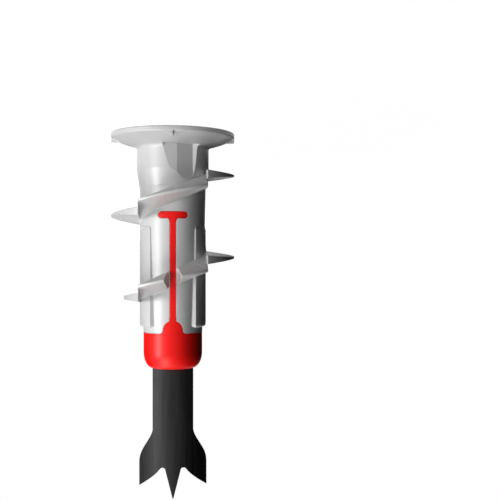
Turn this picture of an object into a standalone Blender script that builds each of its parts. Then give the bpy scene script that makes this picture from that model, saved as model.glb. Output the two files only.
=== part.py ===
"""Self-drilling drywall anchor, modelled standing on its head.

The flat top of the flange lies on z = 0 and the drill point is uppermost. The
front faces -Y, the mould halves part on the plane y = 0, and the back is the
front turned half a turn about the axis. All sizes are in metres and radians.
"""

import math

import bmesh
import bpy
from mathutils import Matrix

# Flange
FLANGE_RADIUS = 0.00741
RIM_HEIGHT = 0.0005
RIM_ROUND = 0.0001
HEAD_ROUND = 0.00008
FLANGE_DEPTH = 0.0015
FLANGE_DOME = 0.00017
NECK_FILLET = 0.0005

# Sawtooth stops under the flange, which keep the anchor from turning back
STOP_COUNT = 4
STOP_HEIGHT = 0.00056
STOP_LENGTH = 0.00147
STOP_WIDTH = 0.0013
STOP_SETBACK = 0.00003

# Neck, shoulder and tapered core, by height above the head face
NECK_RADIUS = 0.00425
NECK_END = 0.0044
SHOULDER_END = 0.0064
CORE_RADIUS = 0.00396
CORE_END_RADIUS = 0.00353
BODY_LENGTH = 0.02385

# Raised pad on the neck, and the flute that is milled into it
PAD_RISE = 0.00006
PAD_EDGE = 0.00187
FACET_DISTANCE = 0.00403
FACET_TURN = math.radians(9.0)
FACET_DRAFT = 0.11
FLUTE_START = 0.00047
FLUTE_FOOT = 0.00232
FLUTE_TURN = math.radians(24.0)
FLUTE_WALL_TURN = math.radians(18.0)
FLUTE_TOP_GAP = 0.00005

# Thread: a right-hand ridge inside the mould faces and flat wings beside them
CREST_SETBACK = 0.00001
FIRST_WING_HEIGHT = 0.00502
LAST_WING_GAP = 0.004085
WING_COUNT = 4
THREAD_HALF_WIDTH = 0.00401
CREST_HALF = 0.00014
FLANK_SLOPE = 0.232
WING_ROOT_HALF = 0.0005
WING_TIP_HALF = 0.0001
LAST_WING_TIP_HALF = 0.0002
WING_TILT = 0.053
WING_OVERLAP = 0.00012
RUN_IN_TURN = math.radians(38.0)
RUN_OUT_TURN = math.radians(114.0)

# Grip ribs on both sides of the lower core
RIB_RADIUS = 0.00396
RIB_START = 0.0112
RIB_END_GAP = 0.00065
RIB_EDGE = 0.0027
RIB_FACE_TURN = math.radians(10.4)
RIB_TOP_INSET = 0.0001
RIB_TOP_LENGTH = 0.0004
RIB_END_ROUND = 0.0003
RIB_END_BEND = 0.3

# T-slots at the front and back, which the legs of the insert fill
BAR_HEIGHT = 0.00991
BAR_HALF_LENGTH = 0.00176
BAR_HALF_WIDTH = 0.00042
STEM_HALF_WIDTH = 0.00041
SLOT_FILLET = 0.0003
FLARE_LENGTH = 0.0015
FLARE_HALF_WIDTH = 0.00118
FLARE_BEND = 0.37
FLARE_ROUND = 0.00042
FLARE_ROUND_END = 105.0
CREST_GAP_FLARE = 0.11
CREST_GAP_MARGIN = 0.00019
CREST_GAP_RISE = 0.00003

# Screw bore and the cross recess for the driver
BORE_RADIUS = 0.0019
RECESS_REACH = 0.003
RECESS_FLOOR_REACH = 0.0021
RECESS_WIDTH = 0.0015
RECESS_FLOOR_WIDTH = 0.0012
RECESS_DEPTH = 0.0034

# Insert
COLLAR_RADIUS = 0.00352
COLLAR_LENGTH = 0.00431
COLLAR_END_RADIUS = 0.00242
COLLAR_ROUND_HEIGHT = 0.0019
LEG_SINK = 0.00002
LEG_ROOT = 0.0006

# Blade
BLADE_THICKNESS = 0.0009
BLADE_REACH = 0.0158
TANG_HALF_WIDTH = 0.0017
TANG_LENGTH = 0.0033
SHANK_HALF_WIDTH = 0.00244
SHANK_ROOT = 0.0012
SPUR_HALF_WIDTH = 0.00403
SPUR_SETBACK = 0.00175
SPUR_LENGTH = 0.0029
SPUR_EDGE_BEND = (0.24, 0.44)
SHOULDER_LENGTH = 0.0038
SHOULDER_BENDS = (0.34, 0.63)
NOTCH_RADIUS = 0.00036
NOTCH_OFFSET = 0.00127
NOTCH_SETBACK = 0.0034
POINT_HALF_WIDTH = 0.00005

# Fits: the pieces are moulded onto each other, so the gap is a hair's width
CLEARANCE = 0.00004

# Facets
TURN_STEPS = 96
RIDGE_STEPS = 16
SIDE_STEPS = 8
ARC_STEPS = 6
FILLET_STEPS = 4
OUTSIDE = 0.001

FRONT_AND_BACK = (0.0, math.pi)


def clear_scene():
    """Remove what a new file holds."""
    for thing in list(bpy.data.objects):
        bpy.data.objects.remove(thing)


def make_material(name, color, roughness, metallic=0.0):
    """A plain surface with the piece's own colour."""
    material = bpy.data.materials.new(name)
    material.use_nodes = True
    shader = material.node_tree.nodes["Principled BSDF"]
    shader.inputs["Base Color"].default_value = (*color, 1.0)
    shader.inputs["Roughness"].default_value = roughness
    shader.inputs["Metallic"].default_value = metallic
    return material


def mesh_object(name, bm):
    """Make an object of a bmesh, with its faces pointing out."""
    bmesh.ops.recalc_face_normals(bm, faces=bm.faces)
    mesh = bpy.data.meshes.new(name)
    bm.to_mesh(mesh)
    bm.free()
    piece = bpy.data.objects.new(name, mesh)
    bpy.context.collection.objects.link(piece)
    return piece


def loft(name, sections):
    """Join sections with equal numbers of points into one closed solid."""
    bm = bmesh.new()
    rings = [[bm.verts.new(point) for point in section] for section in sections]
    for lower, upper in zip(rings, rings[1:]):
        for i in range(len(lower)):
            j = (i + 1) % len(lower)
            bm.faces.new((lower[i], lower[j], upper[j], upper[i]))
    bm.faces.new(rings[0])
    bm.faces.new(rings[-1])
    return mesh_object(name, bm)


def revolve(name, profile):
    """Turn a profile of (radius, height) points about the axis.

    A profile that starts and ends on the axis gives a solid, and one that
    closes on itself gives a ring.
    """
    bm = bmesh.new()
    points = [bm.verts.new((radius, 0.0, height)) for radius, height in profile]
    edges = [bm.edges.new(pair) for pair in zip(points, points[1:])]
    if min(radius for radius, height in profile) > 0.0:
        edges.append(bm.edges.new((points[-1], points[0])))
    bmesh.ops.spin(
        bm,
        geom=points + edges,
        cent=(0.0, 0.0, 0.0),
        axis=(0.0, 0.0, 1.0),
        angle=2.0 * math.pi,
        steps=TURN_STEPS,
        use_merge=True,
    )
    bmesh.ops.remove_doubles(bm, verts=bm.verts, dist=1e-7)
    return mesh_object(name, bm)


def sector(name, profile, start, end):
    """Turn a closed (radius, height) profile from one angle to another."""
    steps = max(2, round(TURN_STEPS * (end - start) / (2.0 * math.pi)))
    angles = [start + (end - start) * i / steps for i in range(steps + 1)]
    sections = []
    for angle in angles:
        sections.append([polar(radius, angle, height) for radius, height in profile])
    return loft(name, sections)


def prism_up(name, outline, low, high):
    """Raise an (x, y) outline from one height to another."""
    return loft(name, [[(x, y, height) for x, y in outline] for height in (low, high)])


def prism_through(name, outline, front, back):
    """Push an (x, z) outline along Y, from the front to the back."""
    return loft(name, [[(x, y, z) for x, z in outline] for y in (front, back)])


def combine(target, tool, operation):
    """Unite the target with a tool solid, or cut it, and delete the tool."""
    modifier = target.modifiers.new(operation, "BOOLEAN")
    modifier.operation = operation
    modifier.solver = "EXACT"
    modifier.object = tool
    depsgraph = bpy.context.evaluated_depsgraph_get()
    result = bpy.data.meshes.new_from_object(target.evaluated_get(depsgraph))
    target.modifiers.clear()
    target.data = result
    bpy.data.objects.remove(tool)


def turn_about_axis(piece, angle):
    """Turn a solid about the anchor's axis."""
    piece.data.transform(Matrix.Rotation(angle, 4, "Z"))


def polar(radius, angle, height):
    """A point from its radius, angle and height."""
    return (radius * math.cos(angle), radius * math.sin(angle), height)


def arc(center, radius, start, end, steps=ARC_STEPS):
    """Points on an arc, with its angles in degrees."""
    points = []
    for i in range(steps + 1):
        angle = math.radians(start + (end - start) * i / steps)
        x = center[0] + radius * math.cos(angle)
        y = center[1] + radius * math.sin(angle)
        points.append((x, y))
    return points


def bezier(points, steps=ARC_STEPS):
    """Points on a Bezier curve, without the first."""
    curve = []
    for i in range(1, steps + 1):
        share = i / steps
        row = list(points)
        while len(row) > 1:
            row = [
                tuple(a + (b - a) * share for a, b in zip(first, second))
                for first, second in zip(row, row[1:])
            ]
        curve.append(row[0])
    return curve


def mirrored(half):
    """Close a half outline with its mirror image across x = 0."""
    other = [(-x, z) for x, z in reversed(half) if x > 0.0]
    return half + other


def core_radius(height):
    """Radius of the tapered core at a height above the head face."""
    share = (height - SHOULDER_END) / (BODY_LENGTH - SHOULDER_END)
    return CORE_RADIUS + share * (CORE_END_RADIUS - CORE_RADIUS)


def body_profile(rise=0.0):
    """Outer profile of the body from the head face to its lower end."""
    neck = NECK_RADIUS + rise
    rim = (FLANGE_RADIUS - RIM_ROUND, RIM_HEIGHT + RIM_ROUND)
    fillet = (neck + NECK_FILLET, FLANGE_DEPTH)
    dome = ((rim[0] + fillet[0]) / 2.0, (rim[1] + fillet[1]) / 2.0 + FLANGE_DOME)
    profile = [(0.0, 0.0), (FLANGE_RADIUS - HEAD_ROUND, 0.0)]
    profile += [(FLANGE_RADIUS, HEAD_ROUND), (FLANGE_RADIUS, RIM_HEIGHT), rim]
    profile += bezier([rim, dome, fillet])
    turn_in = (neck, fillet[1] + NECK_FILLET / 4.0)
    profile += bezier([fillet, turn_in, (neck, fillet[1] + NECK_FILLET)], FILLET_STEPS)
    profile.append((neck, NECK_END))
    profile.append((CORE_RADIUS + rise, SHOULDER_END))
    profile.append((CORE_END_RADIUS, BODY_LENGTH))
    profile.append((0.0, BODY_LENGTH))
    return profile


def thread_radius():
    """Radius of the thread's full crest, which the flange just covers."""
    return FLANGE_RADIUS - CREST_SETBACK


def thread_height(turn):
    """Height of the thread's middle, by the turn from the first wing."""
    length = BODY_LENGTH - LAST_WING_GAP - FIRST_WING_HEIGHT
    return FIRST_WING_HEIGHT + length * turn / ((WING_COUNT - 1) * math.pi)


def side_turn():
    """Half the turn that a wing takes up at the thread's crest."""
    return math.acos(THREAD_HALF_WIDTH / thread_radius())


def crest_radius(turn):
    """Radius of the crest, which runs in before the first wing and out at the last."""
    inner = CORE_END_RADIUS
    rise = (turn + side_turn() + RUN_IN_TURN) / RUN_IN_TURN
    last_full = (WING_COUNT - 1) * math.pi - side_turn()
    fall = 1.0 - (turn - last_full) / RUN_OUT_TURN
    share = max(0.0, min(1.0, rise, fall))
    return inner + share * (thread_radius() - inner)


def ridge_turns():
    """Turns of the ridge's sections, with one at each edge of the wings."""
    side = side_turn()
    turns = [-side - RUN_IN_TURN + RUN_IN_TURN * i / SIDE_STEPS for i in range(SIDE_STEPS)]
    for wing in range(WING_COUNT):
        middle = wing * math.pi
        turns += [middle - side + 2.0 * side * i / (2 * SIDE_STEPS) for i in range(2 * SIDE_STEPS)]
        if wing < WING_COUNT - 1:
            length = math.pi - 2.0 * side
            turns += [middle + side + length * i / RIDGE_STEPS for i in range(RIDGE_STEPS)]
    return turns


def ridge_section(turn):
    """Four-cornered section of the ridge, from inside the core to the crest."""
    angle = math.pi + turn
    middle = thread_height(turn)
    crest = crest_radius(turn)
    inner = CORE_END_RADIUS - 2.0 * WING_ROOT_HALF * FLANK_SLOPE
    across = abs(math.cos(angle))
    reach = crest
    if crest * across > THREAD_HALF_WIDTH:
        reach = THREAD_HALF_WIDTH / across
    tip_half = CREST_HALF + FLANK_SLOPE * max(crest - reach, 0.0)
    root_half = tip_half + FLANK_SLOPE * (reach - inner)
    corners = [(inner, -root_half), (reach, -tip_half), (reach, tip_half), (inner, root_half)]
    return [polar(radius, angle, middle + offset) for radius, offset in corners]


def make_ridge():
    """The coarse thread where it follows the helix."""
    return loft("thread_ridge", [ridge_section(turn) for turn in ridge_turns()])


def make_wing(index):
    """One flat wing, where the thread crosses the parting plane of the mould."""
    middle = index * math.pi
    side = side_turn()
    outline = []
    for i in range(4 * SIDE_STEPS + 1):
        offset = -side + 2.0 * side * i / (4 * SIDE_STEPS)
        reach = crest_radius(middle + offset)
        distance = reach * math.cos(offset)
        if distance > THREAD_HALF_WIDTH - WING_OVERLAP / 2.0:
            outline.append((distance, reach * math.sin(offset)))
    tip = max(distance for distance, along in outline)
    tip_half = WING_TIP_HALF if index < WING_COUNT - 1 else LAST_WING_TIP_HALF
    slope = (WING_ROOT_HALF - tip_half) / (tip - THREAD_HALF_WIDTH)
    inner = THREAD_HALF_WIDTH - WING_OVERLAP
    sections = []
    for distance, along in outline:
        height = thread_height(middle) + WING_TILT * along
        half = tip_half + slope * (tip - distance)
        inner_half = tip_half + slope * (tip - inner)
        corners = [(inner, -inner_half), (distance, -half), (distance, half), (inner, inner_half)]
        sections.append([(x, along, height + z) for x, z in corners])
    wing = loft("wing", sections)
    turn_about_axis(wing, math.pi + middle)
    return wing


def make_stop(turn):
    """One sawtooth stop: steep on one side, a ramp on the other."""
    outer = FLANGE_RADIUS - STOP_SETBACK
    inner = outer - STOP_WIDTH
    base = RIM_HEIGHT - STOP_SETBACK
    full = STOP_HEIGHT + RIM_HEIGHT
    front = -math.pi / 2.0
    sections = []
    for i in range(ARC_STEPS + 1):
        share = i / ARC_STEPS
        angle = front + turn + share * STOP_LENGTH / outer
        top = full + share * (base + 2.0 * STOP_SETBACK - full)
        corners = [(inner, base - RIM_HEIGHT / 2.0), (outer, base - RIM_HEIGHT / 2.0)]
        corners += [(outer, top), (inner, top)]
        sections.append([polar(radius, angle, height) for radius, height in corners])
    return loft("stop", sections)


def make_pad(turn):
    """Raised pad on one mould face of the neck, from its seam to the parting plane."""
    inner = CORE_END_RADIUS
    foot = NECK_RADIUS + PAD_RISE + NECK_FILLET
    profile = [(foot, RIM_HEIGHT)]
    profile += [(radius, height) for radius, height in body_profile(PAD_RISE)
                if CORE_END_RADIUS < radius < foot + NECK_FILLET / 2.0]
    profile.append((CORE_RADIUS, SHOULDER_END + PAD_RISE))
    profile.append((inner, SHOULDER_END + PAD_RISE))
    profile.append((inner, profile[0][1]))
    seam = math.asin(PAD_EDGE / NECK_RADIUS)
    return sector("pad", profile, -math.pi + turn, -math.pi / 2.0 + seam + turn)


def make_flute(turn):
    """Cutter for the flat facet and the flute beside it, seen in plan."""
    facet_end = (FACET_DISTANCE - FLUTE_START * math.sin(FACET_TURN)) / math.cos(FACET_TURN)
    foot = facet_end - (FLUTE_FOOT - FLUTE_START) * math.tan(FLUTE_TURN)
    clear = NECK_RADIUS + 2.0 * OUTSIDE
    wall_end = FLUTE_FOOT + OUTSIDE
    start = -FLUTE_FOOT / 2.0
    outline = [
        (start, (FACET_DISTANCE - start * math.sin(FACET_TURN)) / math.cos(FACET_TURN)),
        (FLUTE_START, facet_end),
        (FLUTE_FOOT, foot),
        (wall_end, foot + (wall_end - FLUTE_FOOT) * math.tan(FLUTE_WALL_TURN)),
        (wall_end, clear),
        (start, clear),
    ]
    low = FLANGE_DEPTH + FLUTE_TOP_GAP
    high = SHOULDER_END + OUTSIDE
    sections = []
    for height in (low, high):
        out = FACET_DRAFT * (height - (FLANGE_DEPTH + NECK_END) / 2.0)
        sections.append([(-x, -y - out, height) for x, y in outline])
    flute = loft("flute", sections)
    turn_about_axis(flute, turn)
    return flute


def make_rib(turn):
    """One grip rib, a sector of the core's side that stays thick as the core tapers."""
    drop = math.tan(RIB_FACE_TURN)
    inner = RIB_EDGE / 2.0
    end = BODY_LENGTH - RIB_END_GAP
    levels = [
        (RIB_START, RIB_TOP_INSET),
        (RIB_START + RIB_TOP_LENGTH, 0.0),
        (end - RIB_END_ROUND, 0.0),
        (end - RIB_END_BEND * RIB_END_ROUND, RIB_END_BEND * RIB_END_ROUND),
        (end, RIB_END_ROUND),
    ]
    sections = []
    for height, inset in levels:
        radius = RIB_RADIUS - inset
        half_angle = math.degrees(math.acos(RIB_EDGE / radius))
        outline = arc((0.0, 0.0), radius, -half_angle, half_angle, 4 * ARC_STEPS)
        edge = outline[-1][1]
        foot = edge - (RIB_EDGE - inner) * drop
        outline += [(inner, foot), (inner, -foot)]
        sections.append([(x, y, height) for x, y in outline])
    rib = loft("rib", sections)
    turn_about_axis(rib, turn)
    return rib


def slot_outline(inset, end):
    """Outline of a T-slot, or of a leg that is smaller by an inset."""
    bar = BAR_HALF_WIDTH - inset
    stem = STEM_HALF_WIDTH - inset
    fillet = SLOT_FILLET + inset
    flare = FLARE_HALF_WIDTH - inset
    rounding = FLARE_ROUND + inset
    round_center = (FLARE_HALF_WIDTH + FLARE_ROUND, BODY_LENGTH - FLARE_ROUND)
    flare_start = BODY_LENGTH - FLARE_LENGTH
    bend = flare_start + FLARE_BEND * (round_center[1] - flare_start)
    half = [(0.0, BAR_HEIGHT - bar)]
    half += arc((BAR_HALF_LENGTH - BAR_HALF_WIDTH, BAR_HEIGHT), bar, -90, 90)
    half += arc((stem + fillet, BAR_HEIGHT + bar + fillet), fillet, -90, -180)
    half.append((stem, flare_start))
    half += bezier([(stem, flare_start), (flare, bend), (flare, round_center[1])])
    half += arc(round_center, rounding, 180, FLARE_ROUND_END)[1:]
    half.append((round_center[0], end))
    half.append((0.0, end))
    return mirrored(half)


def make_slot(turn):
    """Cutter for one T-slot, from outside the core into the bore."""
    outline = slot_outline(0.0, BODY_LENGTH + OUTSIDE)
    slot = prism_through("slot", outline, -CORE_RADIUS - OUTSIDE, -BORE_RADIUS / 4.0)
    turn_about_axis(slot, turn)
    return slot


def crest_gap_half_width(distance, height):
    """Half the gap in the ridge over a slot, at a distance from the anchor's axis."""
    rise = distance - core_radius(height)
    return STEM_HALF_WIDTH + CREST_GAP_MARGIN + CREST_GAP_FLARE * rise


def make_crest_gap(index):
    """Cutter for the gap in the ridge over a slot, wider towards the crest."""
    middle = thread_height((index + 0.5) * math.pi)
    far_floor = thread_radius() + OUTSIDE
    reach = CREST_HALF + FLANK_SLOPE * thread_radius()
    sections = []
    for height in (middle - reach, middle + reach):
        floor = core_radius(height) + CREST_GAP_RISE
        near, far = [crest_gap_half_width(y, middle) for y in (floor, far_floor)]
        outline = [(-near, -floor), (near, -floor), (far, -far_floor), (-far, -far_floor)]
        sections.append([(x, y, height) for x, y in outline])
    gap = loft("crest_gap", sections)
    turn_about_axis(gap, index * math.pi)
    return gap


def cross_outline(reach, width):
    """Outline of a cross with four equal arms."""
    half = width / 2.0
    arm = [(reach, -half), (reach, half), (half, half)]
    outline = []
    for quarter in range(4):
        turned = Matrix.Rotation(quarter * math.pi / 2.0, 2)
        for x, y in arm:
            outline.append((turned[0][0] * x + turned[0][1] * y, turned[1][0] * x + turned[1][1] * y))
    return outline


def make_recess():
    """Cutter for the cross recess, which narrows towards its floor."""
    grow = OUTSIDE / RECESS_DEPTH
    mouth_reach = RECESS_REACH + grow * (RECESS_REACH - RECESS_FLOOR_REACH)
    mouth_width = RECESS_WIDTH + grow * (RECESS_WIDTH - RECESS_FLOOR_WIDTH)
    mouth = cross_outline(mouth_reach, mouth_width)
    floor = cross_outline(RECESS_FLOOR_REACH, RECESS_FLOOR_WIDTH)
    sections = [[(x, y, -OUTSIDE) for x, y in mouth], [(x, y, RECESS_DEPTH) for x, y in floor]]
    return loft("recess", sections)


def make_bore():
    """Cutter for the screw bore, right through the body."""
    ends = (-OUTSIDE, BODY_LENGTH + OUTSIDE)
    profile = [(0.0, ends[0]), (BORE_RADIUS, ends[0]), (BORE_RADIUS, ends[1]), (0.0, ends[1])]
    return revolve("bore", profile)


def make_body(material):
    """The moulded body: flange, neck, core, ribs and thread, with its slots and bore."""
    body = revolve("anchor_body", body_profile())
    for turn in FRONT_AND_BACK:
        combine(body, make_pad(turn), "UNION")
        combine(body, make_flute(turn), "DIFFERENCE")
        combine(body, make_rib(turn), "UNION")
    for index in range(STOP_COUNT):
        combine(body, make_stop(index * 2.0 * math.pi / STOP_COUNT), "UNION")
    combine(body, make_ridge(), "UNION")
    for index in range(WING_COUNT):
        combine(body, make_wing(index), "UNION")
    for index in range(WING_COUNT - 1):
        if thread_height((index + 0.5) * math.pi) > BAR_HEIGHT:
            combine(body, make_crest_gap(index), "DIFFERENCE")
    for turn in FRONT_AND_BACK:
        combine(body, make_slot(turn), "DIFFERENCE")
    driver_way = make_bore()
    combine(driver_way, make_recess(), "UNION")
    combine(body, driver_way, "DIFFERENCE")
    finish(body, material)
    return body


def collar_start():
    """Height of the collar's upper face, just clear of the body."""
    return BODY_LENGTH + CLEARANCE


def collar_end():
    """Height of the collar's lower face, where the blade comes out."""
    return BODY_LENGTH + COLLAR_LENGTH


def make_collar():
    """The rounded collar at the lower end."""
    round_start = collar_end() - COLLAR_ROUND_HEIGHT
    inset = COLLAR_RADIUS - COLLAR_END_RADIUS
    profile = [(0.0, collar_start()), (COLLAR_RADIUS, collar_start())]
    for i in range(2 * ARC_STEPS + 1):
        angle = math.pi / 2.0 * i / (2 * ARC_STEPS)
        radius = COLLAR_END_RADIUS + inset * math.cos(angle)
        profile.append((radius, round_start + COLLAR_ROUND_HEIGHT * math.sin(angle)))
    profile.append((0.0, collar_end()))
    return revolve("expansion_insert", profile)


def make_legs():
    """Both T-shaped legs, cut from the wall between the bore and the core's surface."""
    end = collar_start() + LEG_ROOT
    legs = prism_through("legs", slot_outline(CLEARANCE, end), -CORE_RADIUS, CORE_RADIUS)
    top = SHOULDER_END
    outer_top = core_radius(top) - LEG_SINK
    outer_end = core_radius(BODY_LENGTH) - LEG_SINK
    low = end + LEG_ROOT
    ring = [(BORE_RADIUS, top), (outer_top, top), (outer_end, BODY_LENGTH), (outer_end, low)]
    ring.append((BORE_RADIUS, low))
    combine(legs, revolve("wall", ring), "INTERSECT")
    return legs


def blade_shoulder(half_width_low, half_width_high, start, length):
    """S-shaped edge that widens the shank into the spurs."""
    points = [
        (half_width_low, start),
        (half_width_low, start + SHOULDER_BENDS[0] * length),
        (half_width_high, start + SHOULDER_BENDS[1] * length),
        (half_width_high, start + length),
    ]
    return bezier(points, 2 * ARC_STEPS)


def tang_outline(grow, start, end):
    """Half outline of the tang and the shank's root, or of the pocket round them."""
    step = collar_end() - SHANK_ROOT - grow
    return [
        (TANG_HALF_WIDTH + grow, start),
        (TANG_HALF_WIDTH + grow, step),
        (SHANK_HALF_WIDTH + grow, step),
        (SHANK_HALF_WIDTH + grow, end),
    ]


def tang_start():
    """Height of the tang's hidden end."""
    return collar_end() - TANG_LENGTH


def blade_outline():
    """Outline of the drill blade, from its tang to the centre point."""
    tip = collar_end() + BLADE_REACH
    spur_tip = tip - SPUR_SETBACK
    spur_start = spur_tip - SPUR_LENGTH
    notch = (NOTCH_OFFSET, tip - NOTCH_SETBACK)
    notch_side = arc(notch, NOTCH_RADIUS, -35, -180, 2 * ARC_STEPS)
    edge_bend = (
        notch_side[0][0] + SPUR_EDGE_BEND[0] * (SPUR_HALF_WIDTH - notch_side[0][0]),
        notch_side[0][1] + SPUR_EDGE_BEND[1] * (spur_tip - notch_side[0][1]),
    )
    half = tang_outline(0.0, tang_start(), spur_start - SHOULDER_LENGTH)
    half += blade_shoulder(SHANK_HALF_WIDTH, SPUR_HALF_WIDTH, spur_start - SHOULDER_LENGTH, SHOULDER_LENGTH)
    half.append((SPUR_HALF_WIDTH, spur_tip))
    half += bezier([(SPUR_HALF_WIDTH, spur_tip), edge_bend, notch_side[0]])
    half += notch_side[1:]
    half.append((POINT_HALF_WIDTH, tip))
    return mirrored(half)


def make_insert(material):
    """The second component: the collar, the pocket for the tang and the legs."""
    insert = make_collar()
    pocket_half = tang_outline(CLEARANCE, tang_start() - CLEARANCE, collar_end() + OUTSIDE)
    depth = BLADE_THICKNESS / 2.0 + CLEARANCE
    pocket = prism_through("pocket", mirrored(pocket_half), -depth, depth)
    combine(insert, pocket, "DIFFERENCE")
    combine(insert, make_legs(), "UNION")
    finish(insert, material)
    return insert


def make_blade(material):
    """The flat blade, stamped from one sheet."""
    half = BLADE_THICKNESS / 2.0
    blade = prism_through("drill_blade", blade_outline(), -half, half)
    finish(blade, material)
    return blade


def finish(piece, material):
    """Give a piece its material, and shade its round faces smooth."""
    piece.data.materials.clear()
    piece.data.materials.append(material)
    piece.data.shade_smooth()
    piece.data.set_sharp_from_angle(angle=math.radians(30.0))


def main():
    """Model the anchor's three pieces."""
    clear_scene()
    make_body(make_material("grey_plastic", (0.56, 0.57, 0.57), 0.45))
    make_insert(make_material("red_plastic", (0.80, 0.01, 0.01), 0.35))
    make_blade(make_material("black_steel", (0.03, 0.03, 0.03), 0.45, 0.6))


main()
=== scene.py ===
"""Looks of a self-drilling drywall anchor, shown standing on its head.

The flat face of its flange lies on the floor and its drill point is up. The camera is
turned over, so the drill point is at the bottom of the picture, as in the photograph.
Lengths are in metres and angles in degrees. An azimuth is counted from the front, which
is -Y, towards +X, which is on the left of the picture.
"""

import math

import bpy
from mathutils import Matrix, Vector

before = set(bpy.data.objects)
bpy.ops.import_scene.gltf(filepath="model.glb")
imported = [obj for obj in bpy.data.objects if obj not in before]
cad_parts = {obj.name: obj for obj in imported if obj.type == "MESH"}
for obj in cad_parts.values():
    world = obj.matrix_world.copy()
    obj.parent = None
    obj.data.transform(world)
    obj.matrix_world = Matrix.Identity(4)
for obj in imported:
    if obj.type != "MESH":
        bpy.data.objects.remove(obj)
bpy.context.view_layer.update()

# Camera, which looks along +Y and a little to the side
CAMERA_DISTANCE = 0.1069
CAMERA_HEIGHT = 0.0152
CAMERA_YAW = 5.0
LENS = 63.4
SENSOR_WIDTH = 36.0
HORIZON_SHIFT = 0.02
CLIP_START = 0.001
CLIP_END = 10.0

# Both plastics: their colours, the values of their moulded skin, and their rounded edges
GREY_NYLON = {
    "color": (0.58, 0.58, 0.58, 1.0),
    "flow_color": (0.63, 0.63, 0.63, 1.0),
    "values": {"Flow": 0.5, "Grain Scale": 9000.0, "Roughness": 0.39, "Roughness Spread": 0.1},
    "specular": 0.85,
    "edge_radius": 0.0001,
    "grain": 0.12,
}
RED_NYLON = {
    "color": (0.96, 0.008, 0.006, 1.0),
    "flow_color": (0.98, 0.012, 0.009, 1.0),
    "values": {"Flow": 0.4, "Grain Scale": 7000.0, "Roughness": 0.38, "Roughness Spread": 0.08},
    "specular": 0.26,
    "edge_radius": 0.00008,
    "grain": 0.08,
}
SKIN_LIMITS = {"Flow": 1.0, "Grain Scale": 100000.0, "Roughness": 1.0, "Roughness Spread": 1.0}
FLOW_NOISE = {"Scale": 260.0, "Detail": 3.0, "Distortion": 0.6}
FLOW_MASK = {"From Min": 0.35, "From Max": 0.7}
GRAIN_NOISE = {"Detail": 4.0, "Roughness": 0.65}
GRAIN_DEPTH = 0.00001
NOISE_MIDDLE = 0.5

# Steel of the blade: streaks along it from dark to less dark, and clouds of blackening
STEEL_SURFACE = {"Metallic": 0.0, "Specular IOR Level": 0.2}
STEEL_ROUGHNESS = {"To Min": 0.4, "To Max": 0.5}
STEEL_EDGE_RADIUS = 0.00006
STREAK_NOISE = {"Scale": 3800.0, "Detail": 5.0, "Roughness": 0.7}
STREAK_STRETCH = (1.0, 1.0, 0.03)
STREAK_TONES = ((0.3, (0.003, 0.003, 0.003, 1.0)), (0.75, (0.021, 0.021, 0.021, 1.0)))
STREAK_BUMP = {"Strength": 0.45, "Distance": 0.00001}
CLOUD_NOISE = {"Scale": 420.0, "Detail": 4.0}
# How far the normal leans, for each metre from the blade's middle line
BLADE_CROWN = 260.0

# Every material: rays that round off an edge
EDGE_SAMPLES = 6

# Floor: white glow hides most of its own grey near the anchor, and all of it further off
FLOOR_SIZE = 1.2
FLOOR_HEIGHT = -0.00002
FLOOR_SURFACE = {
    "Base Color": (0.3, 0.3, 0.3, 1.0), "Roughness": 0.9, "Specular IOR Level": 0.0,
}
FLOOR_GLOW = 1.13
GLOW_SHARE = {"From Min": 0.03, "From Max": 0.25, "To Min": 0.88}

# World: its strength where it is seen, and where it only lights
WORLD_COLOR = (1.0, 1.0, 1.0, 1.0)
WHITE_STRENGTH = 1.0
SOFT_STRENGTH = 0.02

# Dark boards: name, azimuth, distance, width, height and tilt, which is 90 where they stand
DARK_BOARDS = (
    ("dark_right", -90.0, 0.075, 0.30, 0.16, 90.0),
    ("dark_left", 135.0, 0.12, 0.16, 0.16, 90.0),
    ("dark_back", 180.0, 0.13, 0.24, 0.06, 90.0),
    ("dark_mat_right", -90.0, 0.042, 0.16, 0.064, 0.0),
)
BOARD_GAP = 0.001
BOARD_SURFACE = {
    "Base Color": (0.01, 0.01, 0.01, 1.0), "Roughness": 1.0, "Specular IOR Level": 0.0,
}

# Lamps: name, azimuth, elevation, width, height, watts, all at one distance from the thread
LAMPS = (
    ("key", 58.0, 3.0, 0.09, 0.12, 0.7),
    ("front", 36.0, 38.0, 0.12, 0.12, 0.42),
    ("top", 60.0, 65.0, 0.12, 0.12, 0.28),
    ("back_left", 155.0, 40.0, 0.3, 0.2, 0.25),
    ("back_right", -155.0, 40.0, 0.3, 0.2, 0.05),
)
LAMP_TARGET = (0.0, 0.0, 0.02)
LAMP_DISTANCE = 0.3


def socket(tree, side, name, kind, value=None, limits=None):
    """Add one named input or output to a node group."""
    made = tree.interface.new_socket(name=name, in_out=side, socket_type=kind)
    if value is not None:
        made.default_value = value
    if limits is not None:
        made.min_value, made.max_value = limits


def node(tree, kind, x, y, label=None, values=None, **settings):
    """Add a node at a place in the editor, with its settings and its inputs' values."""
    made = tree.nodes.new(kind)
    made.location = (x, y)
    if label:
        made.label = label
    for name, value in settings.items():
        setattr(made, name, value)
    for name, value in (values or {}).items():
        made.inputs[name].default_value = value
    return made


def wire(tree, *wires):
    """Join outputs to inputs, each given as node, output, node and input."""
    for source, output, target, entry in wires:
        tree.links.new(source.outputs[output], target.inputs[entry])


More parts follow.
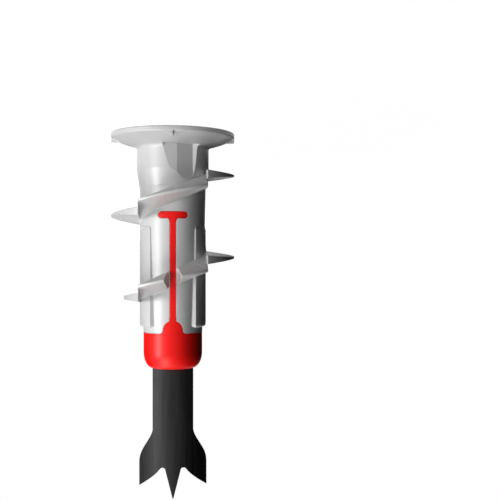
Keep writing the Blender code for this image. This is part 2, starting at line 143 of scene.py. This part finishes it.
def moulded_skin_group():
    """Fine spark-eroded grain and slow flow mottling of a moulded plastic."""
    tree = bpy.data.node_groups.new("moulded_skin", "ShaderNodeTree")
    socket(tree, "INPUT", "Vector", "NodeSocketVector")
    socket(tree, "INPUT", "Color", "NodeSocketColor", GREY_NYLON["color"])
    socket(tree, "INPUT", "Flow Color", "NodeSocketColor", GREY_NYLON["flow_color"])
    for name, value in GREY_NYLON["values"].items():
        socket(tree, "INPUT", name, "NodeSocketFloat", value, (0.0, SKIN_LIMITS[name]))
    socket(tree, "OUTPUT", "Color", "NodeSocketColor")
    socket(tree, "OUTPUT", "Roughness", "NodeSocketFloat")
    socket(tree, "OUTPUT", "Grain", "NodeSocketFloat")
    given = node(tree, "NodeGroupInput", -900, 0)
    out = node(tree, "NodeGroupOutput", 700, 0)
    slow = node(tree, "ShaderNodeTexNoise", -600, 200, "slow flow", FLOW_NOISE)
    fine = node(tree, "ShaderNodeTexNoise", -600, -100, "fine grain", GRAIN_NOISE)
    mask = node(tree, "ShaderNodeMapRange", -350, 200, "flow mask", FLOW_MASK)
    share = node(tree, "ShaderNodeMath", -120, 200, "flow share", operation="MULTIPLY")
    mix = node(tree, "ShaderNodeMix", 150, 200, "flow color", data_type="RGBA")
    spread = node(
        tree, "ShaderNodeMath", -120, -250, "spread", {1: NOISE_MIDDLE}, operation="SUBTRACT"
    )
    rough = node(
        tree, "ShaderNodeMath", 150, -250, "roughness", operation="MULTIPLY_ADD", use_clamp=True
    )
    wire(
        tree,
        (given, "Vector", slow, "Vector"),
        (given, "Vector", fine, "Vector"),
        (given, "Grain Scale", fine, "Scale"),
        (slow, "Fac", mask, "Value"),
        (mask, "Result", share, 0),
        (given, "Flow", share, 1),
        (share, "Value", mix, "Factor"),
        (given, "Color", mix, "A"),
        (given, "Flow Color", mix, "B"),
        (slow, "Fac", spread, 0),
        (spread, "Value", rough, 0),
        (given, "Roughness Spread", rough, 1),
        (given, "Roughness", rough, 2),
        (mix, "Result", out, "Color"),
        (rough, "Value", out, "Roughness"),
        (fine, "Fac", out, "Grain"),
    )
    return tree


def new_material(name, values):
    """A material with its node tree and its Principled BSDF, which takes the values."""
    material = bpy.data.materials.new(name)
    material.use_nodes = True
    tree = material.node_tree
    shader = tree.nodes["Principled BSDF"]
    shader.location = (500, 0)
    tree.nodes["Material Output"].location = (850, 0)
    for socket_name, value in values.items():
        shader.inputs[socket_name].default_value = value
    return material, tree, shader


def moulded_plastic(name, skin, color, flow_color, values, specular, edge_radius, grain):
    """A moulded plastic: flow mottling, fine grain and softly rounded edges."""
    material, tree, shader = new_material(name, {"Specular IOR Level": specular})
    place = node(tree, "ShaderNodeTexCoord", -700, 0)
    given = {"Color": color, "Flow Color": flow_color, **values}
    group = node(tree, "ShaderNodeGroup", -400, 0, "moulded skin", given, node_tree=skin)
    edge = node(
        tree, "ShaderNodeBevel", -100, -400, "moulded edge",
        {"Radius": edge_radius}, samples=EDGE_SAMPLES,
    )
    bump = node(
        tree, "ShaderNodeBump", 150, -250, "grain", {"Strength": grain, "Distance": GRAIN_DEPTH}
    )
    wire(
        tree,
        (place, "Object", group, "Vector"),
        (group, "Color", shader, "Base Color"),
        (group, "Roughness", shader, "Roughness"),
        (group, "Grain", bump, "Height"),
        (edge, "Normal", bump, "Normal"),
        (bump, "Normal", shader, "Normal"),
    )
    return material


def brushed_steel(name):
    """Blackened sheet steel, brushed along the blade, whose broad sides shade as if crowned."""
    material, tree, shader = new_material(name, STEEL_SURFACE)
    place = node(tree, "ShaderNodeTexCoord", -1100, 0)
    stretch = node(
        tree, "ShaderNodeMapping", -900, 0, "along the blade", {"Scale": STREAK_STRETCH}
    )
    streak = node(tree, "ShaderNodeTexNoise", -650, 150, "brush streaks", STREAK_NOISE)
    cloud = node(tree, "ShaderNodeTexNoise", -650, -150, "blackening", CLOUD_NOISE)
    tone = node(tree, "ShaderNodeValToRGB", -350, 150, "streak tone")
    for stop, (position, color) in zip(tone.color_ramp.elements, STREAK_TONES):
        stop.position = position
        stop.color = color
    rough = node(tree, "ShaderNodeMapRange", -350, -150, "roughness", STEEL_ROUGHNESS)
    edge = node(
        tree, "ShaderNodeBevel", -100, -500, "sheared edge",
        {"Radius": STEEL_EDGE_RADIUS}, samples=EDGE_SAMPLES,
    )
    bump = node(tree, "ShaderNodeBump", 150, -300, "streak depth", STREAK_BUMP)
    across = node(tree, "ShaderNodeSeparateXYZ", -900, -350)
    lean = node(
        tree, "ShaderNodeMath", -650, -400, "crown of the sheet",
        {1: BLADE_CROWN}, operation="MULTIPLY",
    )
    facing = node(tree, "ShaderNodeSeparateXYZ", -900, -550)
    broad = node(tree, "ShaderNodeMath", -650, -550, "broad sides only", operation="ABSOLUTE")
    kept = node(tree, "ShaderNodeMath", -500, -400, operation="MULTIPLY")
    sideways = node(tree, "ShaderNodeCombineXYZ", -350, -400)
    crowned = node(tree, "ShaderNodeVectorMath", -100, -700, operation="ADD")
    unit = node(tree, "ShaderNodeVectorMath", 0, -700, operation="NORMALIZE")
    wire(
        tree,
        (place, "Object", across, "Vector"),
        (across, "X", lean, 0),
        (place, "Normal", facing, "Vector"),
        (facing, "Y", broad, 0),
        (lean, "Value", kept, 0),
        (broad, "Value", kept, 1),
        (kept, "Value", sideways, "X"),
        (edge, "Normal", crowned, 0),
        (sideways, "Vector", crowned, 1),
        (crowned, "Vector", unit, 0),
        (place, "Object", stretch, "Vector"),
        (stretch, "Vector", streak, "Vector"),
        (place, "Object", cloud, "Vector"),
        (streak, "Fac", tone, "Fac"),
        (tone, "Color", shader, "Base Color"),
        (cloud, "Fac", rough, "Value"),
        (rough, "Result", shader, "Roughness"),
        (streak, "Fac", bump, "Height"),
        (unit, "Vector", bump, "Normal"),
        (bump, "Normal", shader, "Normal"),
    )
    return material


def seen_directly(tree, x, y):
    """A node whose value is 1 for camera, glossy and transmission rays."""
    path = node(tree, "ShaderNodeLightPath", x, y)
    first = node(tree, "ShaderNodeMath", x + 200, y, operation="MAXIMUM")
    second = node(tree, "ShaderNodeMath", x + 400, y, operation="MAXIMUM")
    wire(
        tree,
        (path, "Is Camera Ray", first, 0),
        (path, "Is Glossy Ray", first, 1),
        (first, "Value", second, 0),
        (path, "Is Transmission Ray", second, 1),
    )
    return second


def make_plane(name, width, height, location, rotation=(0.0, 0.0, 0.0)):
    """A flat stage piece, with its size and place in its mesh."""
    bpy.ops.mesh.primitive_plane_add(size=1.0, location=(0.0, 0.0, 0.0))
    plane = bpy.context.active_object
    plane.name = name
    plane.scale = (width, height, 1.0)
    bpy.ops.object.transform_apply(location=True, rotation=True, scale=True)
    plane.rotation_euler = rotation
    plane.location = location
    bpy.ops.object.transform_apply(location=True, rotation=True, scale=True)
    return plane


def make_floor():
    """A white floor that keeps a trace of the anchor's shadow."""
    floor = make_plane("floor", FLOOR_SIZE, FLOOR_SIZE, (0.0, 0.0, FLOOR_HEIGHT))
    material, tree, shader = new_material("pale_floor", FLOOR_SURFACE)
    glow = node(tree, "ShaderNodeEmission", 500, -500, "glow", {"Strength": FLOOR_GLOW})
    mask = seen_directly(tree, -200, -300)
    place = node(tree, "ShaderNodeTexCoord", -400, -600)
    distance = node(tree, "ShaderNodeVectorMath", -200, -600, operation="LENGTH")
    fade = node(tree, "ShaderNodeMapRange", 0, -600, "white far from the anchor", GLOW_SHARE)
    share = node(tree, "ShaderNodeMath", 450, -250, operation="MULTIPLY")
    mix = node(tree, "ShaderNodeMixShader", 700, -200)
    wire(
        tree,
        (place, "Object", distance, 0),
        (distance, "Value", fade, "Value"),
        (fade, "Result", share, 1),
        (mask, "Value", share, 0),
        (share, "Value", mix, "Fac"),
        (shader, "BSDF", mix, 1),
        (glow, "Emission", mix, 2),
        (mix, "Shader", tree.nodes["Material Output"], "Surface"),
    )
    floor.data.materials.append(material)


def make_dark_board(name, azimuth, distance, width, height, tilt):
    """A black board that the camera doesn't see: it only darkens shades and reflections."""
    turn = math.radians(azimuth)
    slope = math.radians(tilt)
    middle = BOARD_GAP + height / 2.0 * math.sin(slope)
    place = (math.sin(turn) * distance, -math.cos(turn) * distance, middle)
    board = make_plane(name, width, height, place, (slope, 0.0, turn))
    board.visible_camera = False
    material, _, _ = new_material(name, BOARD_SURFACE)
    board.data.materials.append(material)


def make_world():
    """A surround that is white where it is seen, and lights the anchor only a little."""
    world = bpy.data.worlds.new("studio")
    bpy.context.scene.world = world
    world.use_nodes = True
    tree = world.node_tree
    soft = tree.nodes["Background"]
    white = node(tree, "ShaderNodeBackground", 0, -200, "white")
    for background, strength in ((soft, SOFT_STRENGTH), (white, WHITE_STRENGTH)):
        background.inputs["Color"].default_value = WORLD_COLOR
        background.inputs["Strength"].default_value = strength
    mix = node(tree, "ShaderNodeMixShader", 300, 0)
    wire(
        tree,
        (seen_directly(tree, -600, 200), "Value", mix, "Fac"),
        (soft, "Background", mix, 1),
        (white, "Background", mix, 2),
        (mix, "Shader", tree.nodes["World Output"], "Surface"),
    )


def make_lamp(name, azimuth, elevation, width, height, watts):
    """A rectangular soft lamp that faces the thread."""
    turn = math.radians(azimuth)
    rise = math.radians(elevation)
    away = Vector((
        math.sin(turn) * math.cos(rise),
        -math.cos(turn) * math.cos(rise),
        math.sin(rise),
    ))
    lamp = bpy.data.lights.new(name, "AREA")
    lamp.shape = "RECTANGLE"
    lamp.size = width
    lamp.size_y = height
    lamp.energy = watts
    holder = bpy.data.objects.new(name, lamp)
    holder.location = Vector(LAMP_TARGET) + LAMP_DISTANCE * away
    holder.rotation_euler = (-away).to_track_quat("-Z", "Y").to_euler()
    bpy.context.collection.objects.link(holder)


def make_camera():
    """The photograph's view, turned over because the anchor stands on its head."""
    lens = bpy.data.cameras.new("camera")
    lens.sensor_width = SENSOR_WIDTH
    lens.lens = LENS
    lens.clip_start = CLIP_START
    lens.clip_end = CLIP_END
    lens.shift_y = HORIZON_SHIFT
    camera = bpy.data.objects.new("camera", lens)
    yaw = math.radians(CAMERA_YAW)
    forward = Vector((-math.sin(yaw), math.cos(yaw), 0.0))
    up = Vector((0.0, 0.0, -1.0))
    right = forward.cross(up)
    turn = Matrix((right, up, -forward)).transposed().to_4x4()
    place = Matrix.Translation((0.0, -CAMERA_DISTANCE, CAMERA_HEIGHT))
    camera.matrix_world = place @ turn
    bpy.context.collection.objects.link(camera)
    bpy.context.scene.camera = camera


bpy.ops.object.select_all(action="DESELECT")
skin = moulded_skin_group()
grey = moulded_plastic("light_grey_nylon", skin, **GREY_NYLON)
red = moulded_plastic("red_nylon", skin, **RED_NYLON)
steel = brushed_steel("blackened_steel")
materials = {"anchor_body": grey, "expansion_insert": red, "drill_blade": steel}
for name, material in materials.items():
    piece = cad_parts[name]
    piece.data.materials.clear()
    piece.data.materials.append(material)

make_floor()
for board_values in DARK_BOARDS:
    make_dark_board(*board_values)
make_world()
for lamp_values in LAMPS:
    make_lamp(*lamp_values)
make_camera()

bpy.context.scene.view_settings.view_transform = "Standard"
